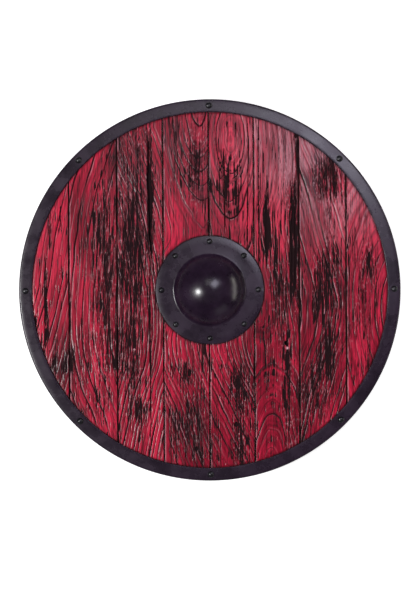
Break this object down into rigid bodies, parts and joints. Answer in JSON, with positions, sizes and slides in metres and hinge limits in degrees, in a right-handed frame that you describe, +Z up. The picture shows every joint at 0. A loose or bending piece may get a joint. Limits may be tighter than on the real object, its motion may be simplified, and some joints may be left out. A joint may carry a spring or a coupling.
{
  "type": "wooden round shield",
  "caption": "Round plank shield: upright painted boards in a riveted steel rim, a domed steel boss over the hand hole, battens and a handle behind.",
  "frame": {"origin": "on the ground under the middle of the shield, which lies on its two battens with its painted face up", "axes": "+Z straight up out of the boss, +Y along the boards to the top of the shield, +X to the right as seen looking at the painted face"},
  "size_m": [0.61, 0.61, 0.0555],
  "materials": {
    "painted_boards": "deep crimson stain over a deeply brushed grain, black in the grooves, cracks and rubbed patches",
    "back_timber": "brown oiled timber, plain",
    "black_steel": "satin black with a faint purple cast, lightly scuffed",
    "black_rivets": "glossier black, domed heads",
    "nail_iron": "dull dark iron"
  },
  "bodies": {
    "root": {"board_1": "painted_boards", "board_2": "painted_boards", "board_3": "painted_boards", "board_4": "painted_boards", "board_5": "painted_boards", "board_6": "painted_boards", "board_7": "painted_boards", "board_8": "painted_boards", "rim": "black_steel", "rim_rivet_1": "black_rivets", "rim_rivet_2": "black_rivets", "rim_rivet_3": "black_rivets", "rim_rivet_4": "black_rivets", "rim_rivet_5": "black_rivets", "rim_rivet_6": "black_rivets", "rim_rivet_7": "black_rivets", "rim_rivet_8": "black_rivets", "boss": "black_steel", "boss_rivet_1": "black_rivets", "boss_rivet_2": "black_rivets", "boss_rivet_3": "black_rivets", "boss_rivet_4": "black_rivets", "boss_rivet_5": "black_rivets", "boss_rivet_6": "black_rivets", "boss_rivet_7": "black_rivets", "boss_rivet_8": "black_rivets", "upper_batten": "back_timber", "lower_batten": "back_timber", "grip": "back_timber", "upper_nail_1": "nail_iron", "lower_nail_1": "nail_iron", "upper_nail_2": "nail_iron", "lower_nail_2": "nail_iron", "upper_nail_3": "nail_iron", "lower_nail_3": "nail_iron", "upper_nail_4": "nail_iron", "lower_nail_4": "nail_iron", "upper_nail_5": "nail_iron", "lower_nail_5": "nail_iron", "upper_nail_6": "nail_iron", "lower_nail_6": "nail_iron", "upper_nail_7": "nail_iron", "lower_nail_7": "nail_iron", "upper_nail_8": "nail_iron", "lower_nail_8": "nail_iron"}
  },
  "joints": []
}
